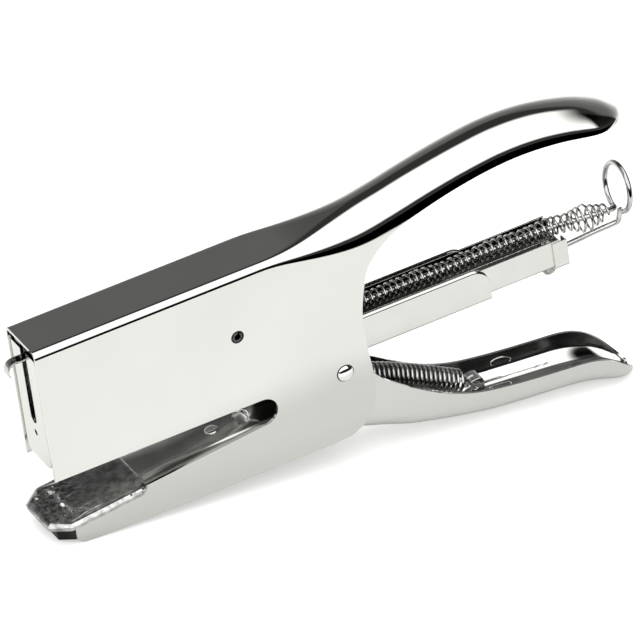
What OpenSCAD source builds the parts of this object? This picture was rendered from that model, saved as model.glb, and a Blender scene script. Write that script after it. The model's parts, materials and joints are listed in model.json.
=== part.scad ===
// Plier stapler of pressed, chromed steel.
// Drawn with the head level: +X runs from the nose to the handles, +Z up, Y across the sheet-metal sides.
// stand() then tips the drawing so that the jaw's nose and the lower handle's tip stand on Z = 0.

/* [Frame] */
// Width over the side plates
body_w = 18; // [17:0.1:20]
// Sheet thickness of the frame
sheet = 0.9; // [0.8:0.05:1]
// Height of the head's flat top above the magazine's underside
head_top = 41; // [41:0.5:43]
// Radius of the throat's round end
throat_r = 4.05; // [3.5:0.05:4.2]

/* [Pivot] */
// Distance of the main rivet behind the nose
pivot_x = 87.4; // [86:0.2:89]
// Height of the main rivet
pivot_z = -2.5; // [-3:0.1:-2]
// Radius of the rivet's shank
pivot_r = 2; // [1.5:0.1:2.2]
// Radial running clearance on shafts
running_gap = 0.05; // [0.02:0.01:0.1]

/* [Magazine] */
// Outer width of the magazine channel
mag_w = 14.1; // [13.9:0.1:14.2]
// Wall thickness of the magazine channel
mag_sheet = 0.55; // [0.5:0.05:0.6]
// Rear end of the outer channel
mag_end = 134; // [125:1:140]
// Rear end of the inner rail
rail_end = 156; // [150:1:160]
// Height of the follower rod's axis
rod_z = 11; // [10.8:0.1:11.2]
// Radius of the follower rod
rod_r = 0.8; // [0.6:0.05:0.85]

/* [Driver] */
// Place of the lever's tip behind the nose
tip_x = 12; // [11.5:0.1:12.5]
// Height of the lever's tip
tip_z = 32.2; // [31.8:0.1:32.6]
// Half width of the driver blade
blade_half = 6.3; // [6:0.1:6.4]

/* [Standing] */
// Angle that the head is tipped up at the rear when the stapler stands
stand_pitch = 7; // [6.9:0.1:7.1]

/* [Hidden] */
$fn = 48;

// Middle of the standing stapler's length, and how far its feet lie below the drawing's origin
mid_x = 84.44;
foot_z = 21.636;

half_w = body_w / 2;
inner_half = half_w - sheet;
cheek_half = inner_half - 0.1;
cheek_sheet = 0.8;
cheek_inner = cheek_half - cheek_sheet;
mag_half = mag_w / 2;
mag_inner = mag_half - mag_sheet;
mag_floor_z = 0.6;
mag_wall_z = 11.5;
core_top = 7.4;
core_half = 5.9;
core_end = 98;
mag_front = 4.2;
nose_plate_x = 1.65;
nose_plate_z = 8;

// The jaw's top edge rises towards the rear
jaw_slope = 6;
jaw_front = 3.4;
jaw_top_front = -15.3;
jaw_rear = 79;
throat_c = [62.5, -4.7];

handle_tip_x = 181;
handle_round = 11;
grip_tip_x = 174.3;
grip_round = 9;

tip_r = 1.3;
carrier_t = 0.65;
shelf_gap = 1.85;
shelf_t = 1;
shelf_end = 13.4;
blade_x = 2.95;
blade_t = 0.5;
carrier_in = blade_x + blade_t + carrier_t;
blade_bottom = 8.1;
blade_top = tip_z + shelf_gap + shelf_t;
lever_half = 2.2;
hook_c = [-2.6, blade_top - 2.2];
rivet_places = [[71, 17.8], [86, 17.8]];
anchor = [87.4, -8.6];
spring_r = 3.25;
spring_wire = 0.6;
eye = [127.2, -27.6];
hook_r = 2;
// Follower wire: its stretches step down a little in radius towards the latch leg
ring_c = [178, 15];
ring_r = 6.9;
ring_wire = 0.9;
ring_lean = 8;
rod_bend = [150, rod_z];
rod_end = [176.9, 8.3];
leg_low = [176.6, 4.2];
leg_tip = [158.6, 3.1];

// ---------- helpers ----------

// Point on a Catmull-Rom curve between b and c
function curve_point(a, b, c, d, t) =
    0.5 * (2 * b + (c - a) * t + (2 * a - 5 * b + 4 * c - d) * t * t
        + (3 * b - a - 3 * c + d) * t * t * t);

// Smooth curve through a list of points
function smooth(p, steps = 4) = let (last = len(p) - 1) concat(
    [for (i = [0:last - 1], j = [0:steps - 1])
        curve_point(p[max(i - 1, 0)], p[i], p[i + 1], p[min(i + 2, last)], j / steps)],
    [p[last]]);

// Arc from angle a0 to a1
function arc(c, r, a0, a1, n = 12) =
    [for (i = [0:n]) c + r * [cos(a0 + (a1 - a0) * i / n), sin(a0 + (a1 - a0) * i / n)]];

function lower(p, drop) = [for (q = p) [q[0], q[1] - drop]];

// Height of the jaw's top edge
function jaw_z(x) = jaw_top_front + tan(jaw_slope) * x;

// Stands the level drawing on its feet
module stand()
    translate([-mid_x, 0, foot_z])
        rotate([0, -stand_pitch, 0])
            children();

// Side outline (X, Z) made into a slab across the middle
module slab(width)
    translate([0, width / 2, 0])
        rotate([90, 0, 0])
            linear_extrude(width)
                children();

// Two plates of one outline, t thick, whose outer faces lie at half_width
module plates(half_width, t)
    for (side = [-1, 1])
        translate([0, side * (half_width - t / 2), 0])
            slab(t)
                children();

// Cylinder across the part at a place (x, z)
module cross(at, r, width)
    translate([at[0], width / 2, at[1]])
        rotate([90, 0, 0])
            cylinder(r = r, h = width);

// Straight wire between two places in the middle plane
module wire(a, b, r) {
    run = b - a;
    translate([a[0], 0, a[1]])
        rotate([0, 90 - atan2(run[1], run[0]), 0])
            cylinder(r = r, h = norm(run), $fn = 24);
}

// Round bend between two wires
module knee(at, r)
    translate([at[0], 0, at[1]])
        sphere(r = r, $fn = 24);

// Strip of sheet bent round a centre in the side view, from angle a0 through sweep
module curled_strip(c, r, t, width, a0, sweep)
    translate([c[0], width / 2, c[1]])
        rotate([90, 0, 0])
            rotate([0, 0, a0])
                rotate_extrude(angle = sweep)
                    translate([r - t / 2, 0])
                        square([t, width]);

// Plan outline with straight sides and an elliptical end
module rounded_plan(x0, x1, half, nose)
    polygon(concat([[x0, -half]],
        [for (a = [-90:10:90]) [x1 - nose + nose * cos(a), half * sin(a)]],
        [[x0, half]]));

// ---------- outlines ----------

top_curve = smooth([[66, head_top], [80, head_top + 0.1], [93, head_top + 1.6], [106, head_top + 4],
    [118, head_top + 6.6], [131, head_top + 8.9], [143, head_top + 10.2], [155, head_top + 9.6],
    [167, head_top + 6.8], [176, head_top + 3], [handle_tip_x, head_top - 0.6]]);

under_curve = smooth([[handle_tip_x, 39.4], [171, 39.9], [159, 42.1], [147, 43], [135, 42.1],
    [122, 39.6], [110, 36], [103.3, 32.2], [99, 28], [96.4, 21], [94.8, 12], [95, 2], [95.7, -8.7],
    [94.8, -15], [92, -19.8], [87, -22.7]]);

grip_under = smooth([[grip_tip_x, -43.2], [170, -41.9], [164.5, -39.9], [156, -37.7], [142, -36.2],
    [130, -34.9], [118.4, -32.6], [107, -29.7], [99, -27.2], [92, -24.8], [85, -21.5]]);

grip_rim = smooth([[93, -3.5], [95.8, -6.4], [100, -11], [111.4, -19], [118.5, -22.9], [126, -25.5],
    [134.7, -27.1], [143.4, -28.2], [151.2, -29], [159, -29.9], [164.5, -31.8], [169.5, -35.6],
    [grip_tip_x, -41.4]]);

module frame_outline()
    polygon(concat([[0, -0.5], [0, head_top]], top_curve, under_curve,
        [[81, -23.2], [40, -23.2], [15.7, -22.9]],
        arc([jaw_front + 3, -19.5], 3, 260, 180, 6),
        [[jaw_front, jaw_z(jaw_front)]],
        arc(throat_c, throat_r, -90, 90)));

module frame_cavity()
    polygon(concat([[-5, -40], [-5, head_top - sheet]], lower(top_curve, sheet), [[200, 30], [200, -40]]));

// ---------- frame ----------

module frame_shell()
    color("gainsboro") stand() difference() {
        intersection() {
            slab(body_w) frame_outline();
            translate([0, 0, -50]) linear_extrude(120) rounded_plan(-3, handle_tip_x, half_w, handle_round);
        }
        intersection() {
            slab(2 * inner_half) frame_cavity();
            translate([0, 0, -60])
                linear_extrude(140)
                    rounded_plan(-6, handle_tip_x - sheet, inner_half, handle_round - sheet);
        }
        cross([pivot_x, pivot_z], pivot_r, body_w + 4);
        cross([58.2, 21.9], 1.5, body_w + 4);
    }

// Channel between the jaw walls that carries the anvil; its narrow rear ears hold the spring anchor
module jaw_channel()
    color("silver") stand() difference() {
        union() {
            slab(2 * inner_half) jaw_web();
            plates(inner_half, 1) jaw_flange();
            plates(6.2, 1) jaw_ear();
        }
        translate([59.2, 0, -15]) cylinder(r = 2.6, h = 10);
        cross(anchor, 1.2, 20);
        lift_rivet_hole();
    }

module jaw_web()
    polygon([[jaw_front + 1, jaw_z(jaw_front + 1)], [62, jaw_z(62)], [66, -9.2], [jaw_rear, -9.2],
        [jaw_rear, -10.2], [65, -10.2], [61, jaw_z(61) - 1], [jaw_front + 1, jaw_z(jaw_front + 1) - 1]]);

module jaw_flange()
    polygon([[jaw_front + 1, jaw_z(jaw_front + 1)], [61, jaw_z(61)], [jaw_rear, -9.3],
        [jaw_rear, -17], [jaw_front + 1, -21]]);

module jaw_ear()
    polygon([[jaw_rear - 8, -9.4], [jaw_rear, -9.4], [84.5, -6], [90.4, -6], [91, -7], [91, -11.5],
        [86, -17], [jaw_rear - 8, -17]]);

// Cap over the jaw's nose, with two pockets that curl the staple's legs
module anvil_plate()
    color("dimgray") stand()
        translate([0, 0, jaw_top_front])
            rotate([0, -jaw_slope, 0])
                difference() {
                    union() {
                        linear_extrude(1.1)
                            polygon([[26, -8.9], [26, 8.9], [23.5, 11.3], [1.5, 11.3], [-3.6, 6.8],
                                [-3.6, -6.8], [1.5, -11.3], [23.5, -11.3]]);
                        for (side = [-1, 1])
                            translate([2, side * 10.15 - 1.05, -1.2])
                                cube([16.5, 2.1, 1.4]);
                        translate([-3.6, -6.8, -1.6]) cube([0.8, 13.6, 1.7]);
                    }
                    for (side = [-1, 1])
                        anvil_pocket(side);
                }

// One staple-forming pocket
module anvil_pocket(side)
    for (step = [0:1])
        translate([3.2, side * (2 + step * 3.2), 2.6])
            rotate([0, 90, 0])
                translate([0, 0, -1.1])
                    cylinder(r = 2.1, h = 2.2);

module nose_guide()
    color("lightgray") stand() {
        translate([0.3, 0, 0])
            rotate([90, 0, 90])
                linear_extrude(0.7)
                    difference() {
                        polygon(concat([[-7.25, 37.5]], arc([0, 10.25], 7.25, 180, 360, 18),
                            [[7.25, 37.5]]));
                        polygon([[-1.7, 14], [1.7, 14], [1.7, 38], [-1.7, 38]]);
                        translate([0, 10.8]) circle(r = 0.9);
                    }
        plates(inner_half, inner_half - 7.2) polygon([[0.3, 13], [9, 13], [9, 37.5], [0.3, 37.5]]);
    }

module pivot_rivet()
    color("gainsboro") stand() {
        cross([pivot_x, pivot_z], pivot_r, body_w + 0.4);
        for (side = [-1, 1])
            translate([pivot_x, side * half_w, pivot_z])
                rotate([-90 * side, 0, 0])
                    intersection() {
                        translate([0, 0, -1.9]) sphere(r = 3);
                        cylinder(r = 2.4, h = 2);
                    }
    }

module stop_pin()
    color("darkgray") stand() difference() {
        cross([58.2, 21.9], 1.5, body_w + 0.2);
        cross([58.2, 21.9], 0.8, body_w + 2);
    }

module spring_anchor()
    color("silver") stand() cross(anchor, 1.2, 12.4);

// Leaf under the jaw channel's web that curls up through its hole at the throat's end
module lift_spring()
    color("silver") stand() difference() {
        union() {
            slab(4) polygon([[44, jaw_z(44) - 1.02], [58.5, jaw_z(58.5) - 1.02],
                [58.5, jaw_z(58.5) - 1.42], [44, jaw_z(44) - 1.42]]);
            curled_strip([58.3, jaw_z(58.3) + 0.95], 2.15, 0.4, 4, -86, 200);
        }
        lift_rivet_hole();
    }

// Square to the jaw's web at the lift spring's rivet
module at_lift_rivet()
    translate([50, 0, jaw_z(50)])
        rotate([0, -jaw_slope, 0])
            children();

module lift_rivet_hole()
    at_lift_rivet() translate([0, 0, -4]) cylinder(r = 0.95, h = 6);

module lift_rivet()
    color("gainsboro") stand() at_lift_rivet() {
        intersection() {
            translate([0, 0, -1.8]) sphere(r = 2.6);
            cylinder(r = 1.9, h = 2);
        }
        translate([0, 0, -2.2]) cylinder(r = 0.9, h = 2.4);
    }

// ---------- lower handle ----------

module grip_plan(shrink)
    polygon(concat([[60, -cheek_half + shrink], [97.5, -cheek_half + shrink], [106, -half_w + shrink]],
        [for (a = [-90:10:90])
            [grip_tip_x - grip_round + (grip_round - shrink) * cos(a), (half_w - shrink) * sin(a)]],
        [[106, half_w - shrink], [97.5, cheek_half - shrink], [60, cheek_half - shrink]]));

module grip_outline()
    polygon(concat([[93.5, 4]], grip_rim, grip_under, [[81.5, -8], [81, 0], [81, 4]]));

module cheek_outline()
    polygon([[67.5, 15.4], [67.5, 20.2], [92, 20.6], [93.4, 17], [93.6, 3], [81, 3], [79, 10]]);

module lower_handle()
    color("gainsboro") stand() difference() {
        union() {
            intersection() {
                slab(body_w) grip_outline();
                translate([0, 0, -60]) linear_extrude(90) grip_plan(0);
            }
            plates(cheek_half, cheek_sheet) cheek_outline();
        }
        intersection() {
            slab(body_w)
                polygon(concat([[60, 30], [60, -19]], lower([for (i = [len(grip_under) - 1:-1:0])
                    grip_under[i]], -sheet), [[200, -30], [200, 30]]));
            translate([0, 0, -70]) linear_extrude(110) grip_plan(cheek_sheet);
        }
        cross([pivot_x, pivot_z], pivot_r + running_gap, body_w);
        for (at = rivet_places)
            cross(at, 1.5, body_w);
        at_grip_rivet() translate([0, 0, -4]) cylinder(r = 1.6, h = 6);
    }

// Flat steel lever that carries the squeeze from the cheeks to the driver
module drive_lever()
    color("slategray") stand() difference() {
        union() {
            slab(2 * lever_half)
                polygon([[tip_x, tip_z + 1], [22, tip_z - 1.1], [26, 30.2], [40, 25.4], [56, 20.4],
                    [72, 20.4], [91, 20.8], [92, 14.4], [72, 15], [58, 16.2], [40, 21.4], [30, 25.4],
                    [22, tip_z - 3.2], [tip_x, tip_z - 1]]);
            cross([tip_x, tip_z], tip_r, 2 * lever_half);
        }
        for (at = rivet_places)
            cross(at, 1.5, body_w);
    }

module lever_spacers()
    color("gray") stand()
        for (at = rivet_places, side = [-1, 1])
            translate([0, side * (lever_half + cheek_inner) / 2, 0])
                difference() {
                    cross(at, 2.4, cheek_inner - lever_half);
                    cross(at, 1.5, body_w);
                }

module lever_rivets()
    color("darkgray") stand()
        for (at = rivet_places)
            cross(at, 1.5, 2 * cheek_half);

// Forked tab on the grip's floor, with a pin across it for the return spring's rear hook
module spring_tab()
    color("silver") stand() {
        difference() {
            slab(5) polygon([[125.7, -33.22], [125.7, -27], [126.8, -25.9], [129, -25.9], [130, -27],
                [130, -33.97]]);
            slab(1.8) translate([124, eye[1] - hook_r - spring_wire - 0.2]) square([10, 10]);
        }
        cross(eye, 1, 4);
    }

// Domed rivet in the grip's floor
module grip_rivet()
    color("gainsboro") stand() at_grip_rivet() {
        translate([0, 0, -1]) cylinder(r = 1.5, h = 1.2);
        intersection() {
            translate([0, 0, -1.6]) sphere(r = 2.7);
            translate([0, 0, 0.05]) cylinder(r = 2.1, h = 2);
        }
    }

// Square to the grip's floor at its rivet
module at_grip_rivet()
    translate([157.4, 0, -36.95])
        rotate([0, 12.0, 0])
            children();

// Closed-coil extension spring with a hook at each end; the coils are one sleeve with end discs
module return_spring()
    color("darkgray") stand() {
        run = eye - anchor;
        along = run / norm(run);
        start = anchor + 2.2 * along;
        length = norm(run) - 4.7;
        inner_r = spring_r - 2 * spring_wire;
        translate([start[0], 0, start[1]])
            rotate([0, 90 - atan2(run[1], run[0]), 0])
                difference() {
                    cylinder(r = spring_r, h = length);
                    translate([0, 0, 0.8]) cylinder(r = inner_r, h = length - 1.6);
                    translate([1.4, 0, -1]) cylinder(r = 0.4, h = length + 2);
                }
        for (p = [anchor, eye])
            translate([p[0], 0, p[1]])
                rotate([90, 0, 0])
                    rotate_extrude()
                        translate([hook_r, 0]) circle(r = spring_wire, $fn = 16);
    }

// ---------- driver ----------

module driver_blade()
    color("silver") stand()
        translate([blade_x, -blade_half, blade_bottom])
            cube([blade_t, 2 * blade_half, blade_top - blade_bottom]);

// Bracket behind the blade whose two shelves hold the lever's tip
module driver_carrier()
    color("slategray") stand() difference() {
        slab(11)
            difference() {
                translate([blade_x + blade_t, 26]) square([shelf_end - blade_x - blade_t, blade_top - 26]);
                translate([carrier_in, tip_z - shelf_gap]) square([shelf_end, 2 * shelf_gap]);
                translate([carrier_in, 25]) square([shelf_end, tip_z - shelf_gap - shelf_t - 25]);
            }
        for (side = [-1, 1])
            translate([0, side * 3, 27.8]) rotate([0, 90, 0]) cylinder(r = 0.85, h = 8);
    }

// Strip that reaches through the guide's slot and curls down in front of the nose
module driver_hook()
    color("gainsboro") stand() {
        slab(3) translate([hook_c[0], blade_top]) square([14.6, 0.6]);
        curled_strip(hook_c, 2.5, 0.6, 3, 90, 130);
    }

module blade_rivets()
    color("gray") stand()
        for (side = [-1, 1])
            translate([blade_x + blade_t, side * 3, 27.8]) rotate([0, 90, 0]) {
                cylinder(r = 0.8, h = carrier_t + 0.5);
                translate([0, 0, carrier_t]) cylinder(r = 1.4, h = 0.6);
            }

// ---------- magazine ----------

module magazine_wall()
    polygon(concat([[nose_plate_x + 0.5, mag_floor_z], [nose_plate_x + 0.5, nose_plate_z],
        [mag_front, nose_plate_z], [mag_front, mag_wall_z]],
        arc([mag_end - 5, mag_wall_z - 4], 4, 90, 0, 8),
        [[mag_end, mag_floor_z]]));

module magazine_ear() {
    translate([pivot_x - 4, pivot_z]) square([8, 4]);
    translate([pivot_x, pivot_z]) circle(r = 4);
}

module magazine_channel()
    color("whitesmoke") stand() difference() {
        union() {
            plates(mag_half, mag_sheet) magazine_wall();
            slab(mag_w) translate([mag_front, mag_floor_z]) square([mag_end - mag_front, 0.6]);
            plates(mag_half, mag_sheet) magazine_ear();
        }
        cross([pivot_x, pivot_z], pivot_r + running_gap, body_w);
    }

module magazine_nose()
    color("silver") stand()
        translate([nose_plate_x, -mag_half, mag_floor_z])
            cube([0.5, mag_w, nose_plate_z - mag_floor_z]);

// Inverted channel that the staples straddle
module staple_core()
    color("silver") stand() difference() {
        slab(2 * core_half) translate([mag_front, 1.2]) square([core_end - mag_front, core_top - 1.2]);
        slab(2 * core_half - 1.6) translate([mag_front - 1, 0]) square([core_end, core_top - 0.8]);
        for (x = [30, 80])
            translate([x, 0, core_top - 2]) cylinder(r = 1.2, h = 4);
    }

module core_rivets()
    color("gray") stand()
        for (x = [30, 80])
            translate([x, 0, 1.2]) cylinder(r = 1.2, h = core_top - 1.2);

module magazine_rail()
    color("whitesmoke") stand() {
        plates(mag_inner, 0.5) translate([core_end + 0.5, 2.2]) square([rail_end - core_end - 0.5, 8.3]);
        slab(2 * mag_inner) translate([core_end + 0.5, 2.2]) square([rail_end - core_end - 0.5, 0.5]);
    }

// Clip round the rail's rear end, with a hole for the follower's latch leg
module rear_catch()
    color("gainsboro") stand() difference() {
        translate([rail_end - 2.4, -7, 1.7]) cube([4.4, 14, 8.5]);
        translate([rail_end - 3, -mag_inner, 2.2]) cube([4.5, 2 * mag_inner, 9]);
        translate([rail_end - 3, -4, 7]) cube([8, 8, 5]);
        translate([rail_end - 3, 0, leg_tip[1]]) rotate([0, 90, 0]) cylinder(r = rod_r + 0.4, h = 8);
    }

module catch_hook()
    color("gainsboro") stand() {
        slab(4) translate([151, 1.2]) square([3, 0.5]);
        curled_strip([154, -0.5], 1.95, 0.5, 4, 90, -230);
    }

module pivot_spacer()
    color("gray") stand() difference() {
        cross([pivot_x, pivot_z], 3, 2 * mag_inner);
        cross([pivot_x, pivot_z], pivot_r + running_gap, body_w);
    }

// ---------- follower ----------

// One bent wire: rod, finger ring and latch leg
module follower_rod()
    color("silver") stand() {
        wire([7.2, rod_z], rod_bend, rod_r);
        knee(rod_bend, rod_r + 0.06);
        wire(rod_bend, rod_end, rod_r - 0.02);
        translate([ring_c[0], 0, ring_c[1]])
            rotate([0, 90 + ring_lean, 0])
                rotate_extrude()
                    translate([ring_r, 0]) circle(r = ring_wire, $fn = 24);
        wire(rod_end, leg_low, rod_r - 0.05);
        knee(leg_low, rod_r + 0.02);
        wire(leg_low, leg_tip, rod_r - 0.07);
    }

module staple_pusher()
    color("silver") stand() difference() {
        slab(11.6) translate([6.5, core_top + 0.3]) square([12, 5.3]);
        translate([0, 0, rod_z]) rotate([0, 90, 0]) cylinder(r = rod_r + 0.1, h = 30);
    }

module follower_spring()
    color("darkgray") stand() {
        spring_tube([18.6, rod_z], rod_bend - [0.2, 0]);
        spring_tube(rod_bend + 0.03 * (rod_end - rod_bend), rod_bend + 0.84 * (rod_end - rod_bend));
    }

// Envelope of the follower spring between two places
module spring_tube(a, b) {
    run = b - a;
    translate([a[0], 0, a[1]])
        rotate([0, 90 - atan2(run[1], run[0]), 0])
            difference() {
                cylinder(r = 2.2, h = norm(run));
                translate([0, 0, -1]) cylinder(r = rod_r + 0.15, h = norm(run) + 2);
            }
}

frame_shell();
jaw_channel();
anvil_plate();
nose_guide();
pivot_rivet();
stop_pin();
spring_anchor();
lift_spring();
lift_rivet();
lower_handle();
drive_lever();
lever_spacers();
lever_rivets();
spring_tab();
grip_rivet();
return_spring();
driver_blade();
driver_carrier();
driver_hook();
blade_rivets();
magazine_channel();
magazine_nose();
staple_core();
core_rivets();
magazine_rail();
rear_catch();
catch_hook();
pivot_spacer();
follower_rod();
staple_pusher();
follower_spring();
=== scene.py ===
import json
import math

import bmesh
import bpy
from mathutils import Matrix, Vector, noise
from mathutils.geometry import delaunay_2d_cdt


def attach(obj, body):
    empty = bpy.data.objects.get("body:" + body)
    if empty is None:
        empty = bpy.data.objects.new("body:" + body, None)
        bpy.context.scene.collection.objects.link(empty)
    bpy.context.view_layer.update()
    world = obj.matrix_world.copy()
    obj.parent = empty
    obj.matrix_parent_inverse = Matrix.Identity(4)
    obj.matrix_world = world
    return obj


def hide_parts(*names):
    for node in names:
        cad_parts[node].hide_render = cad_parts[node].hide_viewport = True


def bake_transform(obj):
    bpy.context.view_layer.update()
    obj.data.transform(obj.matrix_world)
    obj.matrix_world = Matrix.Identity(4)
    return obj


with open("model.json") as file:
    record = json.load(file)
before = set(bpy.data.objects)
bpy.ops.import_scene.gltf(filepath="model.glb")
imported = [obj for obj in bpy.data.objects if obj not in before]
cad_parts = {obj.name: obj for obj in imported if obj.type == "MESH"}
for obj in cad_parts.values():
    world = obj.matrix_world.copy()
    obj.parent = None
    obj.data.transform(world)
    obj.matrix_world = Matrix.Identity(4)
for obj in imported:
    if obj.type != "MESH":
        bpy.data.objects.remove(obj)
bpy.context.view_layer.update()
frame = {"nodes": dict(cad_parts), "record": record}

# ---------- the level drawing frame: millimetres, head level, X from the nose, Z up ----------

JOINTS = {j["name"]: j for j in frame["record"]["behaviour"]["joints"]}
DOWN = JOINTS["driver_slide"]["axis"]
PIVOT_ROW = Vector(JOINTS["handle_squeeze"]["pos_m"])
PITCH = math.atan2(DOWN[0], -DOWN[2])
PIVOT = (87.4, -2.5)
STAND = Matrix.Rotation(-PITCH, 4, "Y") @ Matrix.Scale(0.001, 4)
STAND = Matrix.Translation(PIVOT_ROW - STAND @ Vector((PIVOT[0], 0, PIVOT[1]))) @ STAND


def level(x, y, z):
    """A place in the level drawing, as a place in the row frame."""
    return STAND @ Vector((x, y, z))


HALF = 9.0
SHEET = 0.9
HEAD_TOP = 41.0
CHEEK_HALF = 8.0
CHEEK_SHEET = 0.8
MAG_HALF = 7.05
MAG_SHEET = 0.55
MAG_FLOOR = 0.6
MAG_FRONT = 4.2
MAG_TOP = 11.5
MAG_END = 134
MAG_ROLL = 0.9
RAIL_FLOOR = 2.2
RAIL_TOP = 10.5
CATCH_X = (153.6, 158)
GUIDE_X = 0.65
GUIDE_HALF = 7.0
GUIDE_TOP = 37.5
SLOT_HALF = 1.7
SLOT_FOOT = 15.7
PIVOT_HEAD_R = 2.35
PIN_R = 1.5
PIN_BORE = 0.85
ROD_Z = 11.0
ROD_R = 0.8
JAW_SLOPE = math.radians(6)
JAW_FRONT_TOP = -15.3
THROAT = (62.5, -4.7)
THROAT_R = 4.05
STOP_PIN = (58.2, 21.9)
ANCHOR = (87.4, -8.6)
EYE = (127.2, -27.6)
BOW = 1.3
RING_C = (178.0, 15.0)
RING_R = 6.9
RING_LEAN = math.radians(8)
TABLE_EDGE = (-0.118, -0.145)
NEAR_FLOOR = (0.040, 0.060)
NEAR_SLANT = 0.27
NEAR_TURN = 0.02
NEAR_SHADE = 0.24
PANEL = 1.7
SLOTS = {"handle_chrome_lit_copy": "polished_chrome", "painted_shade_dark": "rivet_chrome", "worn_anvil": "jaw_steel",
         "painted_shadow_black": "jaw_steel"}
SHARP_RIM = math.radians(50)
FLOOR_FACING = 0.45
HEAD_FLAT = 66
NECK = 99
GRIP_MARK_X = 140
FLOOR_GLOW = 0.12
FLOOR_LIFT = 0.28
GRAIN = 900.0
VIEW_WIDTH = 172.043
VIEW_MIDDLE = (70.5645, 43.0108)


def jaw_z(x):
    """Height of the jaw's upper face."""
    return JAW_FRONT_TOP + math.tan(JAW_SLOPE) * x


# ---------- curves ----------

def smooth(points, steps=6):
    """Catmull-Rom curve through 2-D or 3-D points."""
    out = []
    last = len(points) - 1
    for i in range(last):
        a, b = points[max(i - 1, 0)], points[i]
        c, d = points[i + 1], points[min(i + 2, last)]
        for j in range(steps):
            t = j / steps
            out.append(tuple(
                0.5 * (2 * q + (r - p) * t + (2 * p - 5 * q + 4 * r - s) * t * t
                       + (3 * q - p - 3 * r + s) * t ** 3)
                for p, q, r, s in zip(a, b, c, d)))
    out.append(tuple(points[-1]))
    return out


def arc(centre, radius, a0, a1, steps=12):
    """Points on a circle, from one angle to another in degrees."""
    angles = [math.radians(a0 + (a1 - a0) * i / steps) for i in range(steps + 1)]
    return [(centre[0] + radius * math.cos(a), centre[1] + radius * math.sin(a)) for a in angles]


def height(curve, x):
    """Height of a curve that runs along X, by straight lines between its points."""
    pts = curve if curve[0][0] < curve[-1][0] else curve[::-1]
    if x <= pts[0][0]:
        return pts[0][1]
    for (x0, z0), (x1, z1) in zip(pts, pts[1:]):
        if x <= x1:
            return z0 + (z1 - z0) * (x - x0) / max(x1 - x0, 1e-9)
    return pts[-1][1]


def ease(x, x0, x1):
    """Smooth step from 0 at x0 to 1 at x1."""
    t = min(max((x - x0) / (x1 - x0), 0), 1)
    return t * t * (3 - 2 * t)


def stations(x0, x1, step):
    """Even places from x0 to x1, about a step apart."""
    n = max(int(round((x1 - x0) / step)), 1)
    return [x0 + (x1 - x0) * i / n for i in range(n + 1)]


def round_end(x0, tip, steps=14):
    """Stations that close up towards a rounded tip."""
    return [x0 + (tip - x0) * math.sin(math.pi / 2 * i / steps) for i in range(1, steps + 1)]


# ---------- mesh building ----------

def apply_modifiers(obj):
    """Bakes the object's modifiers into its mesh."""
    bpy.context.view_layer.update()
    deps = bpy.context.evaluated_depsgraph_get()
    final = bpy.data.meshes.new_from_object(obj.evaluated_get(deps))
    obj.modifiers.clear()
    obj.data = final
    return final


def add_sheet(obj, thickness, offset, material_offset):
    """Sheet thickness; the material offset picks the slot of the inner side."""
    mod = obj.modifiers.new("sheet", "SOLIDIFY")
    mod.thickness = thickness
    mod.offset = offset
    mod.use_even_offset = True
    mod.use_quality_normals = True
    mod.material_offset = material_offset


def add_rim(obj, width):
    """Small rounding on the sharp edges."""
    mod = obj.modifiers.new("rim", "BEVEL")
    mod.width = width
    mod.segments = 3
    mod.limit_method = "ANGLE"
    mod.angle_limit = SHARP_RIM
    mod.harden_normals = False
    mod.use_clamp_overlap = True


class Build:
    """Collects vertices (level millimetres) and faces, then makes one object in the row frame."""

    def __init__(self):
        self.verts, self.faces = [], []

    def add(self, verts, faces):
        base = len(self.verts)
        self.verts += [tuple(v) for v in verts]
        self.faces += [[base + i for i in f] for f in faces]

    def rows(self, rows, close=False):
        """Joins rows of points, each as long as the first, with quads."""
        n = len(rows[0])
        flat = [p for row in rows for p in row]
        span = n if close else n - 1
        faces = [[r * n + i, r * n + (i + 1) % n, (r + 1) * n + (i + 1) % n, (r + 1) * n + i]
                 for r in range(len(rows) - 1) for i in range(span)]
        self.add(flat, faces)

    def make(self, name, body, material, replaces=(), thickness=0, offset=-1, bevel=0, smooth_angle=35,
             weld=2e-3, inside=None):
        """One piece that rides on a body; inside is the material of a sheet's inner side walls."""
        mesh = bpy.data.meshes.new(name)
        mesh.from_pydata(self.verts, [], self.faces)
        mesh.validate()
        obj = bpy.data.objects.new(name, mesh)
        bpy.context.scene.collection.objects.link(obj)
        tidy(mesh, weld)
        if inside:
            mesh.materials.append(material)
            mesh.materials.append(inside)
        if thickness:
            add_sheet(obj, thickness, offset, 1 if inside else 0)
        if bevel:
            add_rim(obj, bevel)
        if obj.modifiers:
            mesh = apply_modifiers(obj)
        mesh.transform(STAND)
        if inside:
            for face in mesh.polygons:
                if face.normal.z > FLOOR_FACING:
                    face.material_index = 0
        else:
            mesh.materials.clear()
            mesh.materials.append(material)
        mesh.shade_smooth()
        mesh.set_sharp_from_angle(angle=math.radians(smooth_angle))
        mesh.update()
        if bevel:
            mod = obj.modifiers.new("flat_faces", "WEIGHTED_NORMAL")
            mod.keep_sharp = True
            mod.weight = 90
            mesh = apply_modifiers(obj)
        plain = material.name.split(".")[0]
        SLOTS.get(plain, plain)
        if body:
            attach(obj, body)
        if replaces:
            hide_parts(*replaces)
        return obj


def islands(faces):
    """Groups of faces that hang together."""
    left = dict.fromkeys(faces)
    while left:
        group = [left.popitem()[0]]
        for face in group:
            for edge in face.edges:
                for near in edge.link_faces:
                    if near in left:
                        del left[near]
                        group.append(near)
        yield group


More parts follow.
